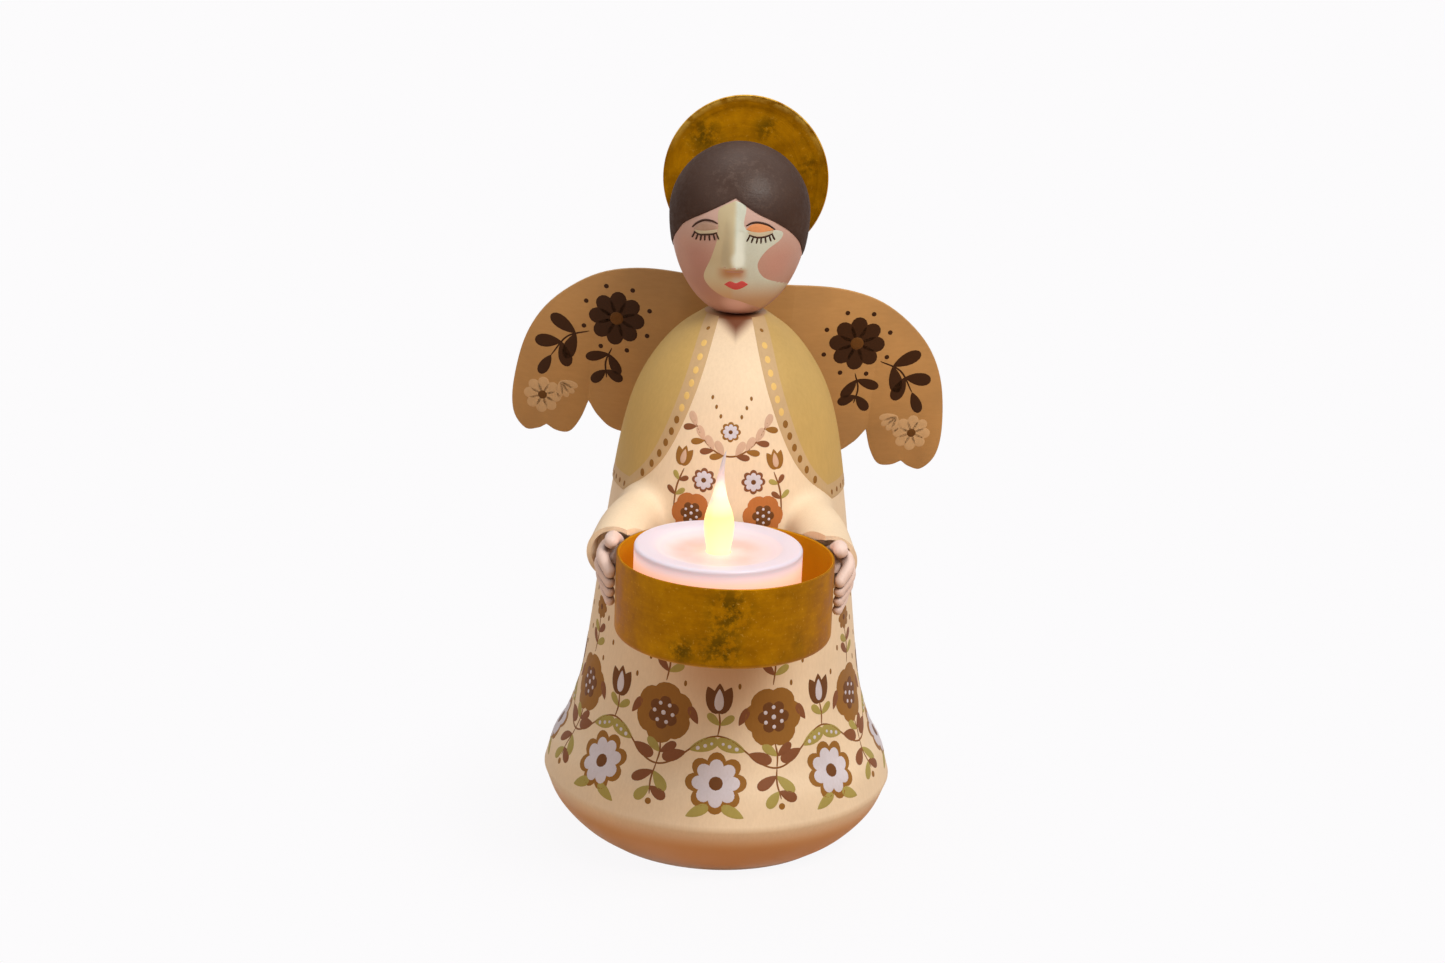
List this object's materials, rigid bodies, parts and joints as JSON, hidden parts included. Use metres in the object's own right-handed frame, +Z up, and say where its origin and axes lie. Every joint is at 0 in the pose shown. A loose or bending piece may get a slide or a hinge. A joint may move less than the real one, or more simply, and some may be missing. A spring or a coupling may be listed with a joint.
{
  "type": "angel candle holder",
  "caption": "Cast angel figurine with sheet-metal wings and halo, holding a battery tea light in a round metal dish.",
  "frame": {"origin": "middle of the flat foot under the gown", "axes": "+Z up, the angel looks along -Y, +X to the viewer's right"},
  "size_m": [0.1089, 0.1223, 0.1812],
  "materials": {
    "gown": "hand-painted matt cast resin, cream with an ochre mantle",
    "head_paint": "hand-painted matt cast resin, rose skin and dark brown hair",
    "hand_paint": "hand-painted matt cast resin, grey rose",
    "gold_leaf": "aged gold paint with dark patches",
    "wing_paint": "matt tan paint with dark brown leaves",
    "candle_white": "waxy white",
    "flame_cream": "lit from inside, warm yellow with a clear grey tip",
    "led_clear": "clear amber",
    "steel": "plated",
    "switch_black": "black"
  },
  "bodies": {
    "figure": {"gown_body": "gown", "head": "head_paint", "hand_left": "hand_paint", "hand_right": "hand_paint", "halo": "gold_leaf", "halo_nail": "steel", "wings": "wing_paint", "wing_screw_left": "steel", "wing_screw_right": "steel", "candle_dish": "gold_leaf", "dish_screw": "steel", "candle_shell": "candle_white", "flame": "flame_cream", "led": "led_clear", "candle_base": "candle_white", "coin_cell": "steel", "contact_plus": "steel", "contact_minus": "steel", "battery_cover": "candle_white", "cover_screw": "steel", "switch_case": "steel"},
    "switch": {"switch_slider": "switch_black"}
  },
  "joints": [
    {"name": "switch_slide", "type": "slide", "parent": "figure", "child": "switch", "axis": [1, 0, 0], "range_m": [0, 0.0025]}
  ]
}
